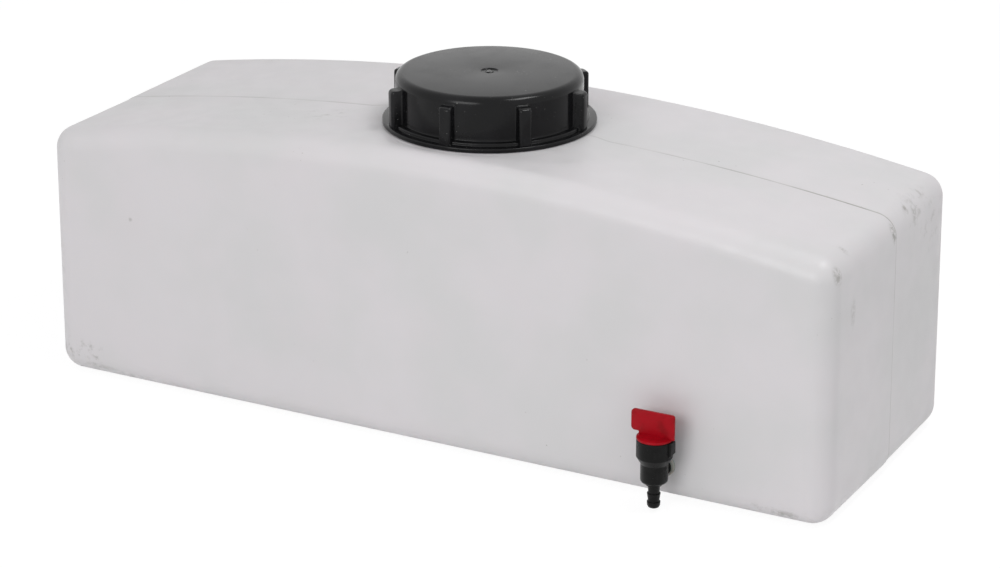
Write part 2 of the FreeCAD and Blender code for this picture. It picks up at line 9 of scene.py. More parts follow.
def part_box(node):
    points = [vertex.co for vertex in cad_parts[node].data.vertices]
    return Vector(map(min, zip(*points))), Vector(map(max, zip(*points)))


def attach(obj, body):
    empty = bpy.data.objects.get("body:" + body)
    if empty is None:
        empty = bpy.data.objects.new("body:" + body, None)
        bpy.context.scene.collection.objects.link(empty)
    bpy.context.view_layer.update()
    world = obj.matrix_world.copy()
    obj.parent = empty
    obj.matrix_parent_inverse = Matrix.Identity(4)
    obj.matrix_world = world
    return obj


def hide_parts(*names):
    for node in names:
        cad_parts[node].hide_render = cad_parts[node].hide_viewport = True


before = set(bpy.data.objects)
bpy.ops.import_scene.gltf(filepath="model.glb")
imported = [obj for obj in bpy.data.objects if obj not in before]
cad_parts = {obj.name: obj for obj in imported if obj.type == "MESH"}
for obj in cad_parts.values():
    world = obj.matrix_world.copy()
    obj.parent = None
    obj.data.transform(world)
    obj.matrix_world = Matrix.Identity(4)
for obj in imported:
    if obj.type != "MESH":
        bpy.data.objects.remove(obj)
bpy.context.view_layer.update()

# Blow moulded water tank with a ribbed screw cap and a push-in drain tap.
# Lengths are millimetres here and become metres when a mesh is made.

MM = 0.001


def box_mm(node):
    """Lowest and highest corner of a node of the frame, in millimetres."""
    low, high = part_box(node)
    return np.array(low) / MM, np.array(high) / MM


TANK_LOW, TANK_HIGH = box_mm("tank_shell")
CAP_LOW, CAP_HIGH = box_mm("screw_cap")
GASKET_LOW, GASKET_HIGH = box_mm("cap_gasket")
TAP_LOW, TAP_HIGH = box_mm("valve_body")
HANDLE_LOW, HANDLE_HIGH = box_mm("valve_handle")
GROMMET_LOW, GROMMET_HIGH = box_mm("outlet_grommet")
CAP_CENTRE = (CAP_LOW + CAP_HIGH) / 2
GROMMET_CENTRE = (GROMMET_LOW + GROMMET_HIGH) / 2

# Tank
HALF_LENGTH = 254.0
HALF_DEPTH = (TANK_HIGH[1] - TANK_LOW[1]) / 2
END_HEIGHT = 154.6
CROWN_RISE = 23.0
BASE_FLARE = 1.9
EDGE_RADIUS = 13.75
FLAT_HALF = HALF_DEPTH - EDGE_RADIUS
WALL = 3.2
ARCH_RADIUS = (HALF_LENGTH ** 2 + CROWN_RISE ** 2) / (2 * CROWN_RISE)
ARCH_Z = END_HEIGHT + CROWN_RISE - ARCH_RADIUS
INNER_ARCH = ARCH_RADIUS - EDGE_RADIUS
PARTING_Y = -3.5
PARTING_SLOPE = math.tan(math.radians(1.35))
CROWN_SAG = 2.0
END_SAG = 0.6
DRAFT = 0.6
MOULD_STEP = 0.7
FLASH = 0.18
LAND_RADIUS = 65.5
LAND_TOP = 175.4
LAND_BLEND = 6.4
LAND_BLEND_SIDE = 6.0

# Mesh of the tank: blocks of its rows and columns make room for the neck and the tap
NECK_BLOCK = 78.0
NECK_COLUMNS = 32
NECK_ROWS = 8
NECK_FRONT_SHARE = 0.955
NECK_REAR_SHARE = 0.88
TAP_BLOCK = 8.0
TAP_COLUMNS = 8
TAP_BLOCK_SHARE = 0.1155
HOLE_SHARES = (0, 0.35, 0.7, 1)
SIDE_ROWS = 16
CORNER_STEPS = 9
ROUND_STEPS = 9
LINE_HALF = 0.005

# Neck and its thread
NECK_X, NECK_Y = CAP_CENTRE[0], PARTING_Y
NECK_RADIUS = 47.5
NECK_BORE = 43.5
NECK_TOP = GASKET_LOW[2]
NECK_FILLET = 1.5
NECK_EDGE = 1.0
NECK_INNER_EDGE = 0.8
NECK_WALL_FOOT = LAND_TOP + 2.2
NECK_WALL_TOP = NECK_TOP - 1.6
NECK_RIM_FOOT = NECK_TOP - 1.4
PITCH = 8.0
THREAD_FOOT = 181.0
THREAD_TURNS = 1.9
THREAD_HEIGHT = 2.7
THREAD_ROOT_HALF = 2.1
THREAD_CREST_HALF = 0.8
THREAD_RUN_OUT = math.radians(25)
THREAD_ROW = 0.42

# Cap, with heights over its foot
CAP_FOOT = CAP_LOW[2]
CAP_TALL = CAP_HIGH[2] - CAP_LOW[2]
CAP_RADIUS = 55.1
CAP_BORE = 52.0
CAP_CEILING = GASKET_HIGH[2] - CAP_FOOT
CEILING_RING = 20.0
CAP_LEAD = 1.0
CAP_ROUND = 4.69
CAP_THREAD_FOOT = THREAD_FOOT + PITCH / 2
CAP_THREAD_TURNS = THREAD_TURNS - 0.5
CAP_THREAD_ROW = 0.5
FOOT_ROUND = 0.5
FLANGE_RADIUS = 63.0
FLANGE_TOP = 2.5
FLANGE_ROUND = 0.7
LEDGE_RADIUS = 58.6
LEDGE_TOP = 4.3
LEDGE_ROUND = 0.6
LEDGE_CREASE = 0.4
SKIRT_FOOT = LEDGE_TOP + 2.0
RIBS = 8
RIB_HALF = 3.8
RIB_REACH = 61.3
RIB_FOOT = FLANGE_TOP - 0.05
RIB_TOP = CAP_TALL - 5.7
RIB_ROUND = 2.0
RIB_ROUND_STEPS = 5
RIB_ROOT = 1.1
RIB_ASIDE = math.radians(7.5)
RIB_TURN = math.radians(2.9)
RIB_FADE = ((0.1, 0.3), (0.3, 0.08), (0.9, 0.0))
BAY_SHARES = (1.0, 0.83, 0.66, 0.5, 0.38)
CROWN_FOOT = RIB_TOP + 0.95
GATE_DISH = 5.4
GATE_DEPTH = 0.7
GATE_EDGE = 0.5
GATE_CREASE = 0.4
GATE_STUB = 2.6
STUB_CREASE = 0.2
STUB_EDGE = 0.3
STUB_MIDDLE = 0.6
STUB_SINK = 0.2
STUB_CENTRE_SINK = 0.25
STUB_ROWS = 5
STUB_WAVES = ((0.096, 3, 0.7), (0.056, 7, 0.0))

# Tap body
TAP_X = GROMMET_CENTRE[0]
TAP_Y = -104.75
TAP_Z = GROMMET_CENTRE[2]
TAP_TIP = TAP_LOW[2]
TAP_RIM = TAP_HIGH[2]
TIP_NOSE = ((2.2, 0.0), (3.1, 0.5), (3.7, 1.7))
BARB_CREST = 3.8
BARB_ROOT = 3.15
BARB_FIRST = 3.3
BARB_PITCH = 5.1
BARB_LAND = 0.5
BARB_STEP = 0.1
SPIGOT_RADIUS = 3.5
SPIGOT_TOP = 15.8
COLLAR_RADIUS = 4.8
COLLAR_ROUND = 0.35
LOWER_FOOT = 17.4
LOWER_TOP = 29.0
LOWER_RADIUS = 7.8
LOWER_ROUND = 2.0
UPPER_FOOT = 33.2
UPPER_RADIUS = 10.3
SHOULDER_ROUND = 0.8
RIM_ROUND = 0.4
PLUG_BORE = 5.05
BORE_FLOOR = 19.4
WATER_WAY = 1.6
WAY_START = 3.0
WAY_END = 24.0
WAY_MOUTH = 0.6
LUG_ROOT = 8.6
LUG_REACH = 11.2
LUG_HALF = 3.0
LUG_TALL = 10.1
LUG_FACE_TALL = 7.5
LUG_UNDER_RIM = 0.02
LUG_ROUND = 0.35
LUG_DRAW = LUG_ROUND / 6
STUB_RADIUS = 3.4
STUB_WAIST = STUB_RADIUS - 0.5
STUB_START = 6.0
STUB_END = 21.8
STOP_RADIUS = 4.9
STOP_START = 10.4
STOP_LEAD = 0.2
STOP_END = 12.0
STOP_ROUND = 0.3

# Grommet, with places along the tap's inlet from the tank's front face
HOLE_RADIUS = 4.9
GROMMET_WAIST = HOLE_RADIUS - 0.02
GROMMET_NOSE = 4.9
GROMMET_TAIL = -5.3
GROMMET_LIP = 6.0
GROMMET_LIP_END = -3.9
GROMMET_RIM = 6.2
GROMMET_RIM_START = 0.05
GROMMET_RIM_END = 2.6

# Handle
HANDLE_TOP = HANDLE_HIGH[2]
PLUG_RADIUS = 5.0
PLUG_FOOT = HANDLE_LOW[2]
PLUG_ROUND = 0.3
GROOVE_RADIUS = 3.6
GROOVE_FOOT = 32.7
GROOVE_TOP = 34.3
DISC_RADIUS = 10.4
DISC_FLAT = 8.6
DISC_FOOT = 43.7
DISC_TOP = 45.2
DISC_EDGE = 0.35
TAB_LEFT = -14.3
TAB_ROOT = -9.6
TAB_RIGHT = 11.9
TAB_SINK = 0.6
TAB_LIFT = 1.4
TAB_ROUND = 2.2
TAB_RIGHT_ROUND = 1.5
TAB_CREASE = 0.6
TAB_HALF = 0.9
TAB_EDGE = ((0.0, 0.3), (0.12, 0.1), (0.35, 0.0))

# Marks on the tank: place, reach along each axis and strength; one scuff entry is painted shade
# of the cap
SCUFFS_AND_CAP_SHADE = (
    ((-238, -90, 14), (30, 20, 12), 0.8),
    ((-196, -90, 3), (60, 12, 5), 0.5),
    ((250, 40, 150), (14, 30, 22), 0.4),
    ((254, 60, 135), (8, 24, 24), 0.35),
    ((225, -88, 6), (30, 10, 9), 0.6),
    ((-252, -80, 60), (10, 16, 60), 0.4),
    # Painted shade of the cap on the crown to its left, not a scuff
    ((-92, -30, 173), (22, 20, 8), 0.35),
)
NICKS = (
    ((253, -1, 146), (6, 4.5, 8), 0.9),
    ((252, -80, 147), (5, 4.5, 7), 0.7),
    ((247, -60, 154), (5, 3, 5), 0.4),
    ((250, 26, 152), (5, 3, 4), 0.7),
    ((252, 34, 146), (5, 5, 9), 0.5),
    ((249, 52, 156), (4, 2, 6), 0.6),
    ((254, -60, 120), (4, 5, 12), 0.3),
    ((-196, -91, 108), (2, 3, 2), 0.5),
    ((-240, -84, 120), (3, 3, 4), 0.5),
    ((-226, -91, 6), (26, 5, 4), 0.7),
    ((230, -89, 5), (14, 6, 5), 0.6),
)
LINE_REACH = 1.2
LINE_CORE = 0.35
LINE_SHADE_FROM = 90
LINE_SHADE_TO = 245
GATE_WEAR = 3.6

# Floor, light and camera, in metres
FLOOR_HALF = 6.0
FLOOR_GLOW = 0.8
FLOOR_LIFT = 1.12
WORLD_LEVEL = 0.53
CAMERA_SENSOR = 36.0
CAMERA_LENS = 109.496
CAMERA_PLACE = (0.8034, -1.5035, 0.7166)
CAMERA_AIM = (-0.4379, 0.8264, -0.3540)


# Mesh tools


def stations(start, *legs):
    """Places along a line; each leg is its end and its number of steps."""
    places = [start]
    for end, steps in legs:
        places.extend(np.linspace(places[-1], end, steps + 1)[1:])
    return np.array(places)


def arc(here, before, after, radius, steps):
    """Points of the round at a corner between two directions."""
    half = math.acos(max(-1.0, min(1.0, float(before @ after)))) / 2
    centre = here + (before + after) / np.linalg.norm(before + after) * radius / math.sin(half)
    start = here + before * radius / math.tan(half) - centre
    end = here + after * radius / math.tan(half) - centre
    turn = math.atan2(start[0] * end[1] - start[1] * end[0], float(start @ end))
    points = []
    for part in np.linspace(0, turn, steps + 1):
        c, s = math.cos(part), math.sin(part)
        points.append(centre + (start[0] * c - start[1] * s, start[0] * s + start[1] * c))
    return points


def soften(corners, steps=4, closed=False):
    """Points of an outline whose corners (a, b, radius) are rounded."""
    count = len(corners)
    points = []
    for index, corner in enumerate(corners):
        here = np.array(corner[:2], float)
        radius = corner[2] if len(corner) == 3 else 0.0
        if radius <= 0 or (not closed and index in (0, count - 1)):
            points.append(here)
            continue
        before = np.array(corners[index - 1][:2], float) - here
        after = np.array(corners[(index + 1) % count][:2], float) - here
        before /= np.linalg.norm(before)
        after /= np.linalg.norm(after)
        points += arc(here, before, after, radius, steps)
    return points


class Skin:
    """Gathers grids of points into one mesh."""

    def __init__(self):
        self.points = []
        self.faces = []

    def grid(self, points, skip=None, wrap=False):
        """Add a grid; wrap joins its last column to its first, skip leaves faces out."""
        rows, columns = points.shape[:2]
        start = sum(len(part) for part in self.points)
        self.points.append(points.reshape(-1, 3))
        for row in range(rows - 1):
            for column in range(columns if wrap else columns - 1):
                if skip and skip(row, column):
                    continue
                beside = (column + 1) % columns
                low, high = start + row * columns, start + (row + 1) * columns
                self.faces.append((low + column, low + beside, high + beside, high + column))

    def build(self, name, material, sharp=None):
        """An object of all grids, welded where they meet."""
        mesh = bpy.data.meshes.new(name)
        everything = np.concatenate(self.points) * MM
        mesh.from_pydata(everything.tolist(), [], self.faces)
        form = bmesh.new()
        form.from_mesh(mesh)
        bmesh.ops.remove_doubles(form, verts=form.verts, dist=0.004 * MM)
        bmesh.ops.dissolve_degenerate(form, edges=form.edges, dist=0.001 * MM)
        bmesh.ops.recalc_face_normals(form, faces=form.faces)
        form.to_mesh(mesh)
        form.free()
        shade(mesh, material, sharp)
        made = bpy.data.objects.new(name, mesh)
        bpy.context.scene.collection.objects.link(made)
        return made


def shade(mesh, material, sharp=None):
    """Smooth shading with edges over an angle kept sharp, and one material."""
    mesh.shade_smooth()
    if sharp:
        mesh.set_sharp_from_angle(angle=math.radians(sharp))
    mesh.materials.clear()
    mesh.materials.append(material)


def combine(base, other, operation):
    """Boolean of two objects; the second one is used up."""
    step = base.modifiers.new("combine", "BOOLEAN")
    step.operation = operation
    step.solver = "EXACT"
    step.object = other
    bpy.context.view_layer.update()
    joined = bpy.data.meshes.new_from_object(base.evaluated_get(
        bpy.context.evaluated_depsgraph_get()))
    base.modifiers.clear()
    base.data = joined
    bpy.data.objects.remove(other)


def ring(radius, height, angles, centre=(0, 0)):
    """Points of a level circle, or of a wavy one where radius is an array."""
    return np.stack([centre[0] + radius * np.cos(angles), centre[1] + radius * np.sin(angles),
                     np.broadcast_to(height, angles.shape)], axis=1)


def lathe(skin, outline, centre, segments=72, tilt=False):
    """Turn an outline of (radius, height) round an upright axis, or round one along -Y."""
    angles = np.linspace(0, 2 * math.pi, segments, endpoint=False)
    rows = np.array([ring(radius, height, angles) for radius, height in outline])
    if tilt:
        rows = np.stack([rows[..., 0], -rows[..., 2], rows[..., 1]], axis=-1)
    skin.grid(rows + np.array(centre), wrap=True)


def ridge_height(angles, height, foot, turns):
    """Share of the full thread height at each angle for one height."""
    once = np.mod(angles, 2 * math.pi)
    best = np.zeros_like(once)
    for lap in range(-1, int(turns) + 2):
        total = once + 2 * math.pi * lap
        away = np.abs(height - foot - PITCH * total / (2 * math.pi))
        flank = np.clip((THREAD_ROOT_HALF - away) / (THREAD_ROOT_HALF - THREAD_CREST_HALF), 0, 1)
        fade = np.clip(total / THREAD_RUN_OUT, 0, 1)
        fade = fade * np.clip((2 * math.pi * turns - total) / THREAD_RUN_OUT, 0, 1)
        best = np.maximum(best, flank * fade)
    return best


# Materials


class Finish:
    """A procedural material in short calls."""

    def __init__(self, name, roughness, **sockets):
        self.material = bpy.data.materials.new(name)
        self.material.use_nodes = True
        self.nodes = self.material.node_tree.nodes
        self.shader = self.nodes["Principled BSDF"]
        self.shader.inputs["Roughness"].default_value = roughness
        for socket, number in sockets.items():
            self.shader.inputs[socket.replace("_", " ")].default_value = number
        self.place = self.nodes.new("ShaderNodeTexCoord").outputs["Object"]

    def link(self, source, target):
        self.material.node_tree.links.new(source, target)

    def feed(self, socket, source):
        """A socket takes a number, a colour or another node's output."""
        if isinstance(source, bpy.types.NodeSocket):
            self.link(source, socket)
        else:
            socket.default_value = source

    def noise(self, size, detail=2.0, rough=0.5):
        """Noise whose cells are about size millimetres."""
        node = self.nodes.new("ShaderNodeTexNoise")
        node.inputs["Scale"].default_value = 1 / (size * MM)
        node.inputs["Detail"].default_value = detail
        node.inputs["Roughness"].default_value = rough
        self.link(self.place, node.inputs["Vector"])
        return node.outputs["Fac"]

    def span(self, source, low, high, to_low=0.0, to_high=1.0):
        """Map one range to another with soft ends, clamped."""
        node = self.nodes.new("ShaderNodeMapRange")
        node.interpolation_type = "SMOOTHSTEP"
        self.link(source, node.inputs["Value"])
        for socket, number in zip(("From Min", "From Max", "To Min", "To Max"),
                                  (low, high, to_low, to_high)):
            node.inputs[socket].default_value = number
        return node.outputs["Result"]

    def sum(self, operation, first, second=0.0):
        node = self.nodes.new("ShaderNodeMath")
        node.operation = operation
        self.feed(node.inputs[0], first)
        self.feed(node.inputs[1], second)
        return node.outputs["Value"]

    def times(self, first, second):
        return self.sum("MULTIPLY", first, second)

    def axis(self, name):
        node = self.nodes.new("ShaderNodeSeparateXYZ")
        self.link(self.place, node.inputs["Vector"])
        return node.outputs[name]

    def spot(self, place, size):
        """1 at a place in millimetres, falling to 0 over its size (a, b, c)."""
        mapping = self.nodes.new("ShaderNodeMapping")
        scale = [1 / (reach * MM) for reach in size]
        mapping.inputs["Scale"].default_value = scale
        mapping.inputs["Location"].default_value = [-p * MM * s for p, s in zip(place, scale)]
        self.link(self.place, mapping.inputs["Vector"])
        node = self.nodes.new("ShaderNodeVectorMath")
        node.operation = "LENGTH"
        self.link(mapping.outputs["Vector"], node.inputs[0])
        return self.span(node.outputs["Value"], 1.0, 0.25)

    def blend(self, share, first, second):
        node = self.nodes.new("ShaderNodeMix")
        node.data_type = "RGBA"
        self.feed(node.inputs["Factor"], share)
        self.feed(node.inputs["A"], first)
        self.feed(node.inputs["B"], second)
        return node.outputs["Result"]

    def colour(self, source):
        self.link(source, self.shader.inputs["Base Color"])

    def roughness(self, source):
        self.link(source, self.shader.inputs["Roughness"])

    def bump(self, *layers):
        """Each layer is a height source and its depth in millimetres."""
        normal = None
        for source, depth in layers:
            node = self.nodes.new("ShaderNodeBump")
            node.inputs["Strength"].default_value = 1.0
            node.inputs["Distance"].default_value = depth * MM
            self.link(source, node.inputs["Height"])
            if normal:
                self.link(normal, node.inputs["Normal"])
            normal = node.outputs["Normal"]
        self.link(normal, self.shader.inputs["Normal"])


def rgb(red, green, blue):
    return (red, green, blue, 1.0)


def milky_tone(finish):
    """Milk white with greyer clouds and a faint pink here and there."""
    milk = rgb(0.704, 0.680, 0.699)
    cloud = rgb(0.664, 0.656, 0.664)
    rosy = rgb(0.704, 0.666, 0.688)
    tone = finish.blend(finish.span(finish.noise(70, 3.0), 0.35, 0.7), milk, cloud)
    return finish.blend(finish.span(finish.noise(45, 2.0), 0.5, 0.8, 0.0, 0.35), tone, rosy)


def parting_groove_shade(finish):
    """Share of painted shade in the parting line's groove, broken up along its length."""
    slope = finish.times(finish.axis("X"), PARTING_SLOPE)
    across = finish.sum("SUBTRACT", finish.axis("Y"), slope)
    off_line = finish.sum("ABSOLUTE", finish.sum("SUBTRACT", across, PARTING_Y * MM))
    return finish.times(finish.span(off_line, LINE_REACH * MM, LINE_CORE * MM),
                        finish.span(finish.noise(28, 3.0), 0.35, 0.65, 0.5, 1.0))


def marked(finish, tone, marks, smear, dirt_and_shade):
    """A tone with a smeared dark colour at each of the marks, for dirt and for painted shade."""
    share = 0.0
    for place, size, strength in marks:
        share = finish.sum("MAXIMUM", finish.times(finish.spot(place, size), strength), share)
    return finish.blend(finish.times(share, smear), tone, dirt_and_shade)


def tank_plastic():
    """Milky polyethylene with faint clouds, painted shade in the parting line's groove, scuffs,
    painted shade of the cap beside it, and specks.
    """
    finish = Finish("tank_plastic", 0.42, Subsurface_Weight=0.25, Subsurface_Scale=0.004,
                    IOR=1.5)
    finish.shader.inputs["Subsurface Radius"].default_value = (1.0, 0.9, 0.85)
    # Dark colour of the scuffs and nicks, also used as painted shade in the parting line and
    # beside the cap
    dirt_and_shade = rgb(0.33, 0.32, 0.30)
    speck_brown = rgb(0.22, 0.20, 0.18)
    # Painted shade of the parting line's groove, in the dark colour, stronger towards the right
    # end
    line = parting_groove_shade(finish)
    step_shade_reach = finish.span(finish.axis("X"), LINE_SHADE_FROM * MM, LINE_SHADE_TO * MM, 0.32, 1.0)
    tone = finish.blend(finish.times(line, step_shade_reach), milky_tone(finish), dirt_and_shade)
    # Scuffs, with painted shade of the cap among them
    tone = marked(finish, tone, SCUFFS_AND_CAP_SHADE, finish.span(finish.noise(6, 5.0, 0.65), 0.5, 0.72), dirt_and_shade)
    tone = marked(finish, tone, NICKS, finish.span(finish.noise(2.5, 5.0, 0.65), 0.36, 0.56),
                  dirt_and_shade)
    speck = finish.times(finish.span(finish.noise(2.2, 1.0), 0.765, 0.80),
                         finish.span(finish.noise(60, 1.0), 0.56, 0.64))
    finish.colour(finish.blend(finish.times(speck, 0.55), tone, speck_brown))
    finish.roughness(finish.span(finish.noise(12, 4.0), 0.3, 0.7, 0.38, 0.5))
    finish.bump((finish.noise(55, 2.0), 0.9), (finish.noise(1.4, 2.0), 0.012), (line, 0.08))
    return finish.material


def cap_plastic():
    """Black satin plastic with sparse dust and a paler, scraped stub in the middle."""
    finish = Finish("cap_plastic", 0.25, IOR=1.29)
    tone = finish.blend(finish.span(finish.noise(20, 4.0), 0.4, 0.7),
                        rgb(0.004, 0.004, 0.0045), rgb(0.008, 0.008, 0.009))
    dust = finish.times(finish.span(finish.noise(0.9, 1.0), 0.74, 0.79),
                        finish.span(finish.noise(25, 2.0), 0.45, 0.62))
    tone = finish.blend(finish.times(dust, 0.7), tone, rgb(0.42, 0.42, 0.40))
    stub = finish.spot((NECK_X, NECK_Y, CAP_HIGH[2]), (GATE_WEAR, GATE_WEAR, GATE_WEAR))
    scraped = finish.times(stub, finish.span(finish.noise(1.6, 3.0), 0.42, 0.55))
    finish.colour(finish.blend(scraped, tone, rgb(0.17, 0.17, 0.17)))
    finish.roughness(finish.span(finish.noise(15, 5.0, 0.6), 0.3, 0.7, 0.11, 0.24))
    finish.bump((finish.noise(30, 1.0), 0.12), (finish.noise(0.7, 2.0), 0.005))
    return finish.material


def tap_plastic():
    """Black plastic of the tap, a little duller than the cap."""
    finish = Finish("tap_plastic", 0.3, IOR=1.24)
    finish.colour(finish.blend(finish.span(finish.noise(5, 3.0), 0.4, 0.65),
                               rgb(0.003, 0.003, 0.003), rgb(0.006, 0.006, 0.006)))
    finish.roughness(finish.span(finish.noise(4, 3.0), 0.3, 0.7, 0.26, 0.38))
    finish.bump((finish.noise(0.6, 2.0), 0.008))
    return finish.material


def handle_plastic():
    """Deep red plastic of the handle."""
    finish = Finish("handle_plastic", 0.3, IOR=1.22)
    finish.colour(finish.blend(finish.span(finish.noise(7, 3.0), 0.4, 0.7),
                               rgb(0.36, 0.002, 0.009), rgb(0.26, 0.002, 0.006)))
    finish.roughness(finish.span(finish.noise(3, 3.0), 0.3, 0.7, 0.28, 0.42))
    finish.bump((finish.noise(4, 2.0), 0.03), (finish.noise(0.5, 2.0), 0.006))
    return finish.material


def seal_rubber(name, dark, light, roughness):
    """Dull black rubber of a seal, from its two greys."""
    finish = Finish(name, roughness, IOR=1.45)
    finish.colour(finish.blend(finish.span(finish.noise(4, 3.0), 0.35, 0.7),
                               rgb(dark, dark, dark), rgb(light, light, light)))
    finish.roughness(finish.span(finish.noise(2, 3.0), 0.3, 0.7, roughness - 0.08,
                                 roughness + 0.1))
    finish.bump((finish.noise(0.5, 2.0), 0.02))
    return finish.material


def grommet_rubber():
    """Translucent olive grey rubber."""
    finish = Finish("grommet_rubber", 0.4, IOR=1.45, Subsurface_Weight=0.4,
                    Subsurface_Scale=0.002)
    finish.colour(finish.blend(finish.span(finish.noise(3, 3.0), 0.35, 0.7),
                               rgb(0.30, 0.30, 0.265), rgb(0.36, 0.36, 0.325)))
    finish.bump((finish.noise(0.8, 2.0), 0.02))
    return finish.material


# Tank


def parting(x):
    """Y of the parting line, which is slightly turned."""
    return PARTING_Y + PARTING_SLOPE * x


def arch_height(x, inset):
    """Height of the plain arch, so far inside its outer face."""
    return ARCH_Z + np.sqrt((ARCH_RADIUS - inset) ** 2 - x * x)


def end_wall():
    """Foot, head and outward normal of the leaning right end, less the edge radius."""
    normal = np.array([END_HEIGHT, BASE_FLARE]) / math.hypot(END_HEIGHT, BASE_FLARE)
    line = normal @ (HALF_LENGTH, END_HEIGHT) - EDGE_RADIUS
    foot = np.array([(line - normal[1] * EDGE_RADIUS) / normal[0], EDGE_RADIUS])
    up = np.array([-normal[1], normal[0]])
    gap = foot - (0, ARCH_Z)
    reach = -gap @ up + math.sqrt((gap @ up) ** 2 - gap @ gap + INNER_ARCH ** 2)
    return foot, foot + up * reach, normal


def crown_places(head):
    """Places along the crown, with whole columns at both blocks."""
    scale = INNER_ARCH / ARCH_RADIUS
    return stations(-head[0], ((NECK_X - NECK_BLOCK) * scale, 20),
                    ((NECK_X + NECK_BLOCK) * scale, NECK_COLUMNS), (TAP_X - TAP_BLOCK, 9),
                    (TAP_X + TAP_BLOCK, TAP_COLUMNS), (head[0], 9))


def fan(corner, end):
    """The corner's point with normals that swing from its own to the end's."""
    point, start = corner
    first, last = math.atan2(start[1], start[0]), math.atan2(end[1], end[0])
    last += 2 * math.pi if last < first else 0
    turns = np.linspace(first, last, CORNER_STEPS + 1)[1:-1]
    return [(point, (math.cos(turn), math.sin(turn))) for turn in turns]


class TankOutline:
    """The tank seen from its front, less its edge radius, as points and outward normals.

    A point of the outer face is a point plus the edge radius times its normal.
    """

    def __init__(self):
        foot, head, lean = end_wall()
        self.tops = crown_places(head)
        shares = stations(0.0, (TAP_BLOCK_SHARE, TAP_COLUMNS), (1.0, SIDE_ROWS))
        arch = [((x, arch_height(x, EDGE_RADIUS)),
                 (x / INNER_ARCH, math.sqrt(1 - (x / INNER_ARCH) ** 2))) for x in self.tops]
        base = [((x * foot[0] / head[0], EDGE_RADIUS), (0.0, -1.0)) for x in self.tops]
        right = [(tuple(foot + (head - foot) * share), tuple(lean)) for share in shares]
        left = [((-point[0], point[1]), (-normal[0], normal[1])) for point, normal in right]

        loop = base + fan(base[-1], lean) + right + fan(right[-1], arch[-1][1])
        self.arch_start = len(loop)
        loop += arch[::-1] + fan(arch[0], left[-1][1]) + left[::-1] + fan(left[0], base[0][1])
        self.points = np.array([point for point, _ in loop])
        self.normals = np.array([normal for _, normal in loop])

        low = np.array([point for point, _ in base])
        high = np.array([point for point, _ in arch])
        self.face = low + (high - low) * shares[:, None, None]


def neck_share(x, y):
    """1 on the land under the cap, 0 away from it."""
    dx, dy = x - NECK_X, y - NECK_Y
    distance = np.hypot(dx, dy)
    sideways = np.abs(dx) / np.maximum(distance, 1e-6)
    blend = LAND_BLEND + LAND_BLEND_SIDE * sideways ** 2
    share = np.clip(1 - (distance - LAND_RADIUS) / blend, 0, 1)
    return share * share * (3 - 2 * share)


def settle(points, inset):
    """Give the plain form its sag, draft, mould step and the land round the neck."""
    x, y, z = points[..., 0], points[..., 1], points[..., 2]
    line = parting(x)
    edge = np.where(y < line, -HALF_DEPTH, HALF_DEPTH)
    near = np.clip(1 - (y - line) / (edge - line), 0, 1)
    within = np.clip(x, -HALF_LENGTH, HALF_LENGTH)
    crown = 1 - (within / HALF_LENGTH) ** 2
    risen = np.clip(z / arch_height(within, 0.0), 0, 1)
    sag = near * (END_SAG + (CROWN_SAG - END_SAG) * crown) * risen
    behind = np.clip((y - line) / MOULD_STEP + 0.5, 0, 1)
    shift = near * DRAFT * x / HALF_LENGTH - MOULD_STEP * behind
    share = neck_share(x, y) * (z > END_HEIGHT)
    moved_z = (z - sag) * (1 - share) + (LAND_TOP - inset) * share
    return np.stack([x + shift * (1 - share), y, moved_z], axis=-1)


def around(grid, block):
    """Points round the rim of a block of a grid, in order."""
    low, high, left, right = block
    return np.concatenate([grid[low, left:right], grid[low:high, right],
                           grid[high, right:left:-1], grid[high:low:-1, left]])


def inside(block):
    """A test of whether a face of the grid is in the block."""
    low, high, left, right = block
    return lambda row, column: low <= row < high and left <= column < right


def rim_angles(rim, centre):
    """One angle for each rim point, evenly spread along each side of the block."""
    offset = rim - np.array(centre)
    unit = offset / np.abs(offset).max(axis=0)
    eighths = np.where(np.abs(unit[:, 0]) >= np.abs(unit[:, 1]),
                       np.where(unit[:, 0] > 0, unit[:, 1], 4 - unit[:, 1]),
                       np.where(unit[:, 1] > 0, 2 - unit[:, 0], 6 + unit[:, 0]))
    return eighths * math.pi / 4


def sleeve(skin, outline, inset, flash):
    """Crown, ends and base between the edge rounds; gives the rim left open for the neck."""
    rows = stations(-1.0, (-NECK_FRONT_SHARE, 1), (-3 * LINE_HALF, 14), (-LINE_HALF, 1), (0, 1),
                    (LINE_HALF, 1), (3 * LINE_HALF, 1), (NECK_REAR_SHARE, 14), (1.0, 2))
    radius = EDGE_RADIUS - inset
    reach = radius + np.where(rows == 0, flash, 0.0)[:, None]
    points, normals = outline.points, outline.normals
    line = parting(points[:, 0] + radius * normals[:, 0])
    y = line * (1 - np.abs(rows[:, None])) + FLAT_HALF * rows[:, None]
    walls = np.stack([points[:, 0] + reach * normals[:, 0], y,
                      points[:, 1] + reach * normals[:, 1]], axis=-1)
    tops = outline.tops[::-1] * ARCH_RADIUS / INNER_ARCH
    left = outline.arch_start + int(np.argmin(np.abs(tops - (NECK_X + NECK_BLOCK))))
    block = (1, len(rows) - 3, left, left + NECK_COLUMNS)
    skin.grid(settle(walls, inset), skip=inside(block), wrap=True)
    return around(walls, block)


def neck_surround(skin, rim, angles, radius, inset):
    """Crown between the rim of its open block and the foot of the neck."""
    circle = ring(radius, 0.0, angles, (NECK_X, NECK_Y))[:, :2]
    patch = []
    for share in np.linspace(0, 1, NECK_ROWS + 1):
        plan = rim[:, :2] * (1 - share) + circle * share
        height = arch_height(plan[:, 0], inset) if share else rim[:, 2]
        patch.append(np.column_stack([plan, height]))
    skin.grid(settle(np.array(patch), inset), wrap=True)


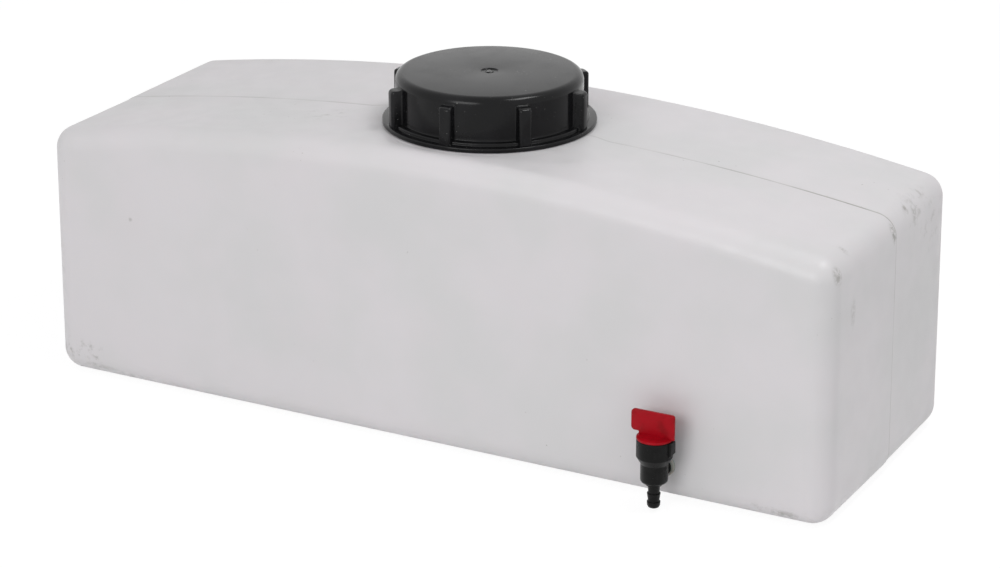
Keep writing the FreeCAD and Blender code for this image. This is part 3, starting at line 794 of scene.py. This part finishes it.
def edge_round(skin, outline, side, inset):
    """Round between the sleeve and the front face (side -1) or the rear face (side 1)."""
    radius = EDGE_RADIUS - inset
    rows = []
    for turn in np.linspace(0, math.pi / 2, ROUND_STEPS + 1):
        reach = outline.points + radius * math.cos(turn) * outline.normals
        y = np.full(len(reach), side * (FLAT_HALF + radius * math.sin(turn)))
        rows.append(np.column_stack([reach[:, 0], y, reach[:, 1]]))
    skin.grid(settle(np.array(rows), inset), wrap=True)


def flat_face(outline, side, inset):
    """Grid of the front face (side -1) or the rear face (side 1)."""
    y = np.full(outline.face.shape[:2], side * (HALF_DEPTH - inset))
    return np.stack([outline.face[..., 0], y, outline.face[..., 1]], axis=-1)


def front_face(skin, outline, inset):
    """The front face round the tap's hole; gives the points of the hole."""
    front = flat_face(outline, -1, inset)
    left = int(np.argmin(np.abs(outline.tops - (TAP_X - TAP_BLOCK))))
    block = (0, TAP_COLUMNS, left, left + TAP_COLUMNS)
    skin.grid(settle(front, inset), skip=inside(block))
    rim = around(front, block)
    angles = rim_angles(rim[:, [0, 2]], (TAP_X, TAP_Z))
    hole = np.stack([TAP_X + HOLE_RADIUS * np.cos(angles), rim[:, 1],
                     TAP_Z + HOLE_RADIUS * np.sin(angles)], axis=1)
    surround = np.array([rim * (1 - share) + hole * share for share in HOLE_SHARES])
    surround = settle(surround, inset)
    skin.grid(surround, wrap=True)
    return surround[-1]


def tank_skin(skin, inset, flash, neck_radius, angles=None):
    """Outside or inside of the moulding; gives the neck's angles and the hole's points."""
    outline = TankOutline()
    rim = sleeve(skin, outline, inset, flash)
    if angles is None:
        angles = rim_angles(rim[:, :2], (NECK_X, NECK_Y))
    neck_surround(skin, rim, angles, neck_radius, inset)
    for side in (-1, 1):
        edge_round(skin, outline, side, inset)
    skin.grid(settle(flat_face(outline, 1, inset), inset))
    return angles, front_face(skin, outline, inset)


def neck(skin, angles):
    """Filler neck: root fillet, threaded wall, rim and bore."""
    foot = soften([
        (NECK_RADIUS + NECK_FILLET, LAND_TOP),
        (NECK_RADIUS, LAND_TOP, NECK_FILLET),
        (NECK_RADIUS, LAND_TOP + 2 * NECK_FILLET),
    ])[:-1]
    rim_and_bore = soften([
        (NECK_RADIUS, NECK_RIM_FOOT),
        (NECK_RADIUS, NECK_TOP, NECK_EDGE),
        (NECK_BORE, NECK_TOP, NECK_INNER_EDGE),
        (NECK_BORE, LAND_TOP - WALL, NECK_FILLET),
        (NECK_BORE + NECK_FILLET, LAND_TOP - WALL),
    ])
    centre = (NECK_X, NECK_Y)
    rows = [ring(radius, height, angles, centre) for radius, height in foot]
    for height in np.arange(NECK_WALL_FOOT, NECK_WALL_TOP, THREAD_ROW):
        ridge = ridge_height(angles, height, THREAD_FOOT, THREAD_TURNS)
        rows.append(ring(NECK_RADIUS + THREAD_HEIGHT * ridge, height, angles, centre))
    rows += [ring(radius, height, angles, centre) for radius, height in rim_and_bore]
    skin.grid(np.array(rows), wrap=True)


def tank_shell(material):
    """Both skins, the neck and the wall of the tap's hole, as one closed moulding."""
    skin = Skin()
    angles, outer_hole = tank_skin(skin, 0.0, FLASH, NECK_RADIUS + NECK_FILLET)
    inner_hole = tank_skin(skin, WALL, 0.0, NECK_BORE + NECK_FILLET, angles)[1]
    neck(skin, angles)
    skin.grid(np.array([outer_hole, inner_hole]), wrap=True)
    return skin.build("tank_skin", material, sharp=50)


# Cap


def cap_columns():
    """Angle and full radius of each column round the cap."""
    pitch = 2 * math.pi / RIBS
    plan = soften([
        (CAP_RADIUS * math.cos(RIB_ASIDE), CAP_RADIUS * math.sin(RIB_ASIDE)),
        (math.sqrt(CAP_RADIUS ** 2 - RIB_HALF ** 2), RIB_HALF, RIB_ROOT),
        (RIB_REACH, RIB_HALF, RIB_ROUND),
        (RIB_REACH, 0.0),
    ], steps=5)[1:]
    half = [(pitch / 2 * share, CAP_RADIUS) for share in BAY_SHARES]
    half += [(math.atan2(y, x), max(math.hypot(x, y), CAP_RADIUS)) for x, y in plan]
    sector = [(-angle, radius) for angle, radius in half] + half[-2:0:-1]
    columns = [(RIB_TURN + angle + rib * pitch, radius)
               for rib in range(RIBS) for angle, radius in sector]
    return np.array(columns).T


def cap_bore(angles):
    """Rings of the ceiling and of the threaded bore, from the middle out and down."""
    rows = [ring(radius, CAP_CEILING, angles) for radius in (0.0, CEILING_RING)]
    for height in np.arange(CAP_CEILING, CAP_LEAD, -CAP_THREAD_ROW):
        ridge = ridge_height(angles, height + CAP_FOOT, CAP_THREAD_FOOT, CAP_THREAD_TURNS)
        rows.append(ring(CAP_BORE - THREAD_HEIGHT * ridge, height, angles))
    return rows


def cap_outside():
    """Radius, height and share of the ribs' reach, from the bore's foot up to the top."""
    foot = soften([
        (CAP_BORE, CAP_LEAD), (CAP_BORE, 0.0, FOOT_ROUND), (FLANGE_RADIUS, 0.0, FOOT_ROUND),
        (FLANGE_RADIUS, FLANGE_TOP, FLANGE_ROUND), (LEDGE_RADIUS, FLANGE_TOP, LEDGE_CREASE),
        (LEDGE_RADIUS, LEDGE_TOP, LEDGE_ROUND), (CAP_RADIUS, LEDGE_TOP, FOOT_ROUND),
        (CAP_RADIUS, SKIRT_FOOT)], steps=3)
    rows = [(radius, height, 0.0 if height < RIB_FOOT else 1.0) for radius, height in foot]
    for turn in np.linspace(0, math.pi / 2, RIB_ROUND_STEPS + 1):
        drop = RIB_ROUND * (1 - math.cos(turn))
        rows.append((CAP_RADIUS, RIB_TOP - RIB_ROUND * (1 - math.sin(turn)),
                     1 - drop / (RIB_REACH - CAP_RADIUS)))
    rows += [(CAP_RADIUS, RIB_TOP + rise, share) for rise, share in RIB_FADE]
    floor = CAP_TALL - GATE_DEPTH
    crown = soften([
        (CAP_RADIUS, CROWN_FOOT), (CAP_RADIUS, CAP_TALL, CAP_ROUND),
        (GATE_DISH, CAP_TALL, GATE_EDGE), (GATE_DISH - GATE_DEPTH, floor, GATE_CREASE),
        (GATE_STUB, floor, STUB_CREASE),
        (GATE_STUB - STUB_EDGE, CAP_TALL - STUB_EDGE, STUB_EDGE),
        (STUB_MIDDLE, CAP_TALL - STUB_SINK)], steps=6)
    return rows + [(radius, height, 0.0) for radius, height in crown]


def roughen_stub(rows, angles):
    """Leave the cut-off stub in the middle of the cap uneven."""
    uneven = sum(height * np.sin(count * angles + start) for height, count, start in STUB_WAVES)
    for row in rows[-STUB_ROWS:]:
        row[:, 2] += uneven * (np.hypot(row[:, 0], row[:, 1]) < GATE_STUB)


def screw_cap(material):
    """Ribbed and flanged cap with its threaded bore and the gate mark on top."""
    angles, full = cap_columns()
    rows = cap_bore(angles)
    for radius, height, share in cap_outside():
        if share > 0:
            radius = np.maximum(radius, CAP_RADIUS + share * (full - CAP_RADIUS))
        rows.append(ring(radius, height, angles))
    roughen_stub(rows, angles)
    rows.append(ring(0.0, CAP_TALL - STUB_CENTRE_SINK, angles))
    skin = Skin()
    skin.grid(np.array(rows) + np.array((NECK_X, NECK_Y, CAP_FOOT)), wrap=True)
    return skin.build("cap_moulding", material, sharp=55)


# Tap


def barb(crest):
    """Corners of one barb: its crest, a short land and the step back to the root."""
    land = crest + BARB_LAND
    return [(BARB_CREST, crest, 0.3), (BARB_CREST, land, 0.2), (BARB_ROOT, land + BARB_STEP, 0.1)]


def tap_outline():
    """Closed outline of the turned tap body: outside up, bore and water way down."""
    crest = TAP_TIP + BARB_FIRST
    outside = [(radius, TAP_TIP + rise, 0.0) for radius, rise in TIP_NOSE]
    outside += barb(crest) + barb(crest + BARB_PITCH)
    outside += [
        (SPIGOT_RADIUS, SPIGOT_TOP, 0.25), (COLLAR_RADIUS, SPIGOT_TOP, COLLAR_ROUND),
        (COLLAR_RADIUS, LOWER_FOOT, 0.2), (LOWER_RADIUS, LOWER_FOOT, LOWER_ROUND),
        (LOWER_RADIUS, LOWER_TOP, SHOULDER_ROUND), (UPPER_RADIUS, UPPER_FOOT, SHOULDER_ROUND),
        (UPPER_RADIUS, TAP_RIM, RIM_ROUND),
    ]
    bore = [
        (PLUG_BORE, TAP_RIM, 0.2), (PLUG_BORE, BORE_FLOOR), (WATER_WAY, BORE_FLOOR),
        (WATER_WAY, TAP_TIP + WAY_MOUTH), (WATER_WAY, TAP_TIP),
    ]
    points = soften([(0.0, TAP_TIP)] + outside + bore)[1:]
    return points + [points[0]]


def drawn_in(outline, share):
    """An outline drawn towards its middle by a share of the way."""
    centre = np.mean(outline, axis=0)
    return [centre + (point - centre) * (1 - share) for point in outline]


def trimmed(outline, inset):
    """An outline drawn towards its middle by the same length at each point."""
    centre = np.mean(outline, axis=0)
    return [point + (centre - point) / np.linalg.norm(centre - point) * inset
            for point in outline]


def plate(name, near_half, material):
    """A plate on the tap's axis from the layers of its near half, mirrored for the other."""
    layers = near_half + [(-shift, outline) for shift, outline in near_half[::-1]]
    rows = [[(TAP_X + across, TAP_Y + shift, height) for across, height in outline]
            for shift, outline in layers]
    skin = Skin()
    skin.grid(np.array(rows), wrap=True)
    return skin.build(name, material)


def stop_lug(material):
    """Lug on the tap's upper part that stops the handle."""
    side = soften([
        (LUG_ROOT, TAP_RIM - LUG_TALL), (LUG_REACH, TAP_RIM - LUG_FACE_TALL, 0.4),
        (LUG_REACH, TAP_RIM - LUG_UNDER_RIM, 0.35), (LUG_ROOT, TAP_RIM - LUG_UNDER_RIM),
    ], closed=True)
    return plate("lug", [(-LUG_HALF, drawn_in(side, 1.0)), (-LUG_HALF, drawn_in(side, LUG_DRAW)),
                         (LUG_ROUND - LUG_HALF, side)], material)


def towards_tank(name, outline, segments, material):
    """A form turned about the tap's inlet, pointing from the tap to the tank."""
    skin = Skin()
    lathe(skin, outline, (TAP_X, TAP_Y, TAP_Z), segments=segments, tilt=True)
    made = skin.build(name, material)
    centre = Vector((TAP_X * MM, TAP_Y * MM, 0))
    made.data.transform(Matrix.Translation(centre) @ Matrix.Rotation(math.pi, 4, "Z")
                        @ Matrix.Translation(-centre))
    return made


def tap_body(material):
    """Barbed spigot, stepped body, stop lug and inlet stub, bored for plug and water."""
    skin = Skin()
    lathe(skin, tap_outline(), (TAP_X, TAP_Y, 0))
    body = skin.build("tap_moulding", material, sharp=40)
    stub = soften([
        (0.0, STUB_START), (STUB_WAIST, STUB_START), (STUB_WAIST, STOP_START),
        (STOP_RADIUS, STOP_START + STOP_LEAD, STOP_ROUND), (STOP_RADIUS, STOP_END, STOP_ROUND),
        (STUB_RADIUS, STOP_END), (STUB_RADIUS, STUB_END, 0.4), (0.0, STUB_END)])
    water = [(0.0, WAY_START), (WATER_WAY, WAY_START), (WATER_WAY, WAY_END), (0.0, WAY_END)]
    combine(body, stop_lug(material), "UNION")
    combine(body, towards_tank("stub", stub, 48, material), "UNION")
    combine(body, towards_tank("way", water, 32, material), "DIFFERENCE")
    shade(body.data, material, sharp=38)
    return body


def tap_grommet(material):
    """Flanged push-in grommet, squeezed at the tank's wall."""
    outline = soften([
        (STUB_RADIUS, GROMMET_TAIL), (GROMMET_NOSE, GROMMET_TAIL, 0.3),
        (GROMMET_LIP, GROMMET_LIP_END, 0.4), (GROMMET_LIP, -WALL, 0.2), (GROMMET_WAIST, -WALL),
        (GROMMET_WAIST, GROMMET_RIM_START), (GROMMET_RIM, GROMMET_RIM_START, 0.2),
        (GROMMET_RIM, GROMMET_RIM_END, 0.8), (STUB_RADIUS, GROMMET_RIM_END)], steps=5)
    skin = Skin()
    lathe(skin, outline + [outline[0]], (TAP_X, -HALF_DEPTH, TAP_Z), segments=56, tilt=True)
    return skin.build("grommet_ring", material, sharp=45)


def handle_tab(material):
    """Upright tab of the handle, with its foot sunk in the disc."""
    outline = soften([
        (TAB_ROOT, DISC_TOP - TAB_SINK), (TAB_RIGHT, DISC_TOP - TAB_SINK),
        (TAB_RIGHT, HANDLE_TOP, TAB_RIGHT_ROUND), (TAB_LEFT, HANDLE_TOP, TAB_ROUND),
        (TAB_LEFT, DISC_TOP + TAB_LIFT, TAB_ROUND), (TAB_ROOT, DISC_TOP + TAB_LIFT, TAB_CREASE),
    ], steps=5, closed=True)
    layers = [(-TAB_HALF, drawn_in(outline, 1.0))]
    layers += [(depth - TAB_HALF, trimmed(outline, inset)) for depth, inset in TAB_EDGE]
    return plate("tab", layers, material)


def tap_handle(material):
    """Plug with its seal groove, disc and tab, one moulding."""
    outline = soften([
        (0.0, PLUG_FOOT), (PLUG_RADIUS, PLUG_FOOT, PLUG_ROUND), (PLUG_RADIUS, GROOVE_FOOT),
        (GROOVE_RADIUS, GROOVE_FOOT), (GROOVE_RADIUS, GROOVE_TOP), (PLUG_RADIUS, GROOVE_TOP),
        (PLUG_RADIUS, DISC_FOOT), (DISC_RADIUS, DISC_FOOT, 0.3),
        (DISC_RADIUS, DISC_TOP - DISC_EDGE, 0.45), (DISC_FLAT, DISC_TOP, 0.8), (0.0, DISC_TOP)])
    skin = Skin()
    lathe(skin, outline, (TAP_X, TAP_Y, 0))
    body = skin.build("handle_moulding", material, sharp=40)
    combine(body, handle_tab(material), "UNION")
    shade(body.data, material, sharp=38)
    return body


# The object

tank = tank_shell(tank_plastic())
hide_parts("tank_shell")
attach(tank, "tank")

cap = screw_cap(cap_plastic())
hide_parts("screw_cap")
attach(cap, "cap")

tap = tap_body(tap_plastic())
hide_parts("valve_body")
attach(tap, "tank")

grommet = tap_grommet(grommet_rubber())
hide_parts("outlet_grommet")
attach(grommet, "tank")

handle = tap_handle(handle_plastic())
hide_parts("valve_handle")
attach(handle, "handle")

for node, rubber in (("cap_gasket", seal_rubber("gasket_rubber", 0.02, 0.035, 0.6)),
                     ("plug_seal", seal_rubber("seal_rubber", 0.015, 0.03, 0.5))):
    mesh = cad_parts[node].data
    mesh.materials.clear()
    mesh.materials.append(rubber)


# Floor, light and camera


def floor_material():
    """Pale floor, lifted to white for the camera, that keeps the object's shadow."""
    finish = Finish("floor", 0.9, IOR=1.3)
    finish.colour(finish.blend(finish.noise(300, 2.0), rgb(0.86, 0.86, 0.86),
                               rgb(0.88, 0.88, 0.88)))
    nodes = finish.nodes
    glow = nodes.new("ShaderNodeEmission")
    glow.inputs["Color"].default_value = rgb(1, 1, 1)
    glow.inputs["Strength"].default_value = FLOOR_LIFT
    rays = nodes.new("ShaderNodeLightPath")
    seen = finish.sum("MAXIMUM", rays.outputs["Is Camera Ray"], rays.outputs["Is Glossy Ray"])
    seen = finish.sum("MAXIMUM", seen, rays.outputs["Is Transmission Ray"])
    mix = nodes.new("ShaderNodeMixShader")
    finish.link(finish.times(seen, FLOOR_GLOW), mix.inputs["Fac"])
    finish.link(finish.shader.outputs["BSDF"], mix.inputs[1])
    finish.link(glow.outputs["Emission"], mix.inputs[2])
    finish.link(mix.outputs["Shader"], nodes["Material Output"].inputs["Surface"])
    return finish.material


def add_floor():
    mesh = bpy.data.meshes.new("floor")
    corners = [(-FLOOR_HALF, -FLOOR_HALF, 0), (FLOOR_HALF, -FLOOR_HALF, 0),
               (FLOOR_HALF, FLOOR_HALF, 0), (-FLOOR_HALF, FLOOR_HALF, 0)]
    mesh.from_pydata(corners, [], [(0, 1, 2, 3)])
    mesh.materials.append(floor_material())
    made = bpy.data.objects.new("floor", mesh)
    bpy.context.scene.collection.objects.link(made)
    return made


def add_lamp(name, place, target, size, power):
    data = bpy.data.lights.new(name, "AREA")
    data.shape = "RECTANGLE"
    data.size, data.size_y = size
    data.energy = power
    lamp = bpy.data.objects.new(name, data)
    lamp.location = place
    lamp.rotation_euler = (Vector(target) - Vector(place)).to_track_quat("-Z", "Y").to_euler()
    bpy.context.scene.collection.objects.link(lamp)


def add_world():
    """Even light, and plain white where the background or its reflection is seen."""
    world = bpy.data.worlds.new("studio")
    world.use_nodes = True
    nodes = world.node_tree.nodes
    light = nodes["Background"]
    light.inputs["Color"].default_value = rgb(1.0, 1.0, 1.0)
    light.inputs["Strength"].default_value = WORLD_LEVEL
    white = nodes.new("ShaderNodeBackground")
    white.inputs["Color"].default_value = rgb(1.0, 1.0, 1.0)
    white.inputs["Strength"].default_value = 1.0
    rays = nodes.new("ShaderNodeLightPath")
    mix = nodes.new("ShaderNodeMixShader")
    links = world.node_tree.links
    seen = rays.outputs["Is Camera Ray"]
    for kind in ("Is Glossy Ray", "Is Transmission Ray"):
        either = nodes.new("ShaderNodeMath")
        either.operation = "MAXIMUM"
        links.new(seen, either.inputs[0])
        links.new(rays.outputs[kind], either.inputs[1])
        seen = either.outputs["Value"]
    links.new(seen, mix.inputs["Fac"])
    links.new(light.outputs["Background"], mix.inputs[1])
    links.new(white.outputs["Background"], mix.inputs[2])
    links.new(mix.outputs["Shader"], nodes["World Output"].inputs["Surface"])
    bpy.context.scene.world = world


def add_camera():
    data = bpy.data.cameras.new("camera")
    data.sensor_width = CAMERA_SENSOR
    data.lens = CAMERA_LENS
    camera = bpy.data.objects.new("camera", data)
    camera.location = CAMERA_PLACE
    camera.rotation_euler = Vector(CAMERA_AIM).to_track_quat("-Z", "Y").to_euler()
    bpy.context.scene.collection.objects.link(camera)
    bpy.context.scene.camera = camera


floor = add_floor()
add_world()
add_lamp("overhead", place=(0.47, 0.0, 1.02), target=(0.15, 0.0, 0.1), size=(0.4, 0.25),
         power=2.9)
add_lamp("front", place=(-0.05, -1.75, 0.75), target=(0.05, 0.0, 0.1), size=(0.9, 0.7),
         power=9.5)
add_camera()

bpy.context.scene.view_settings.view_transform = "Standard"
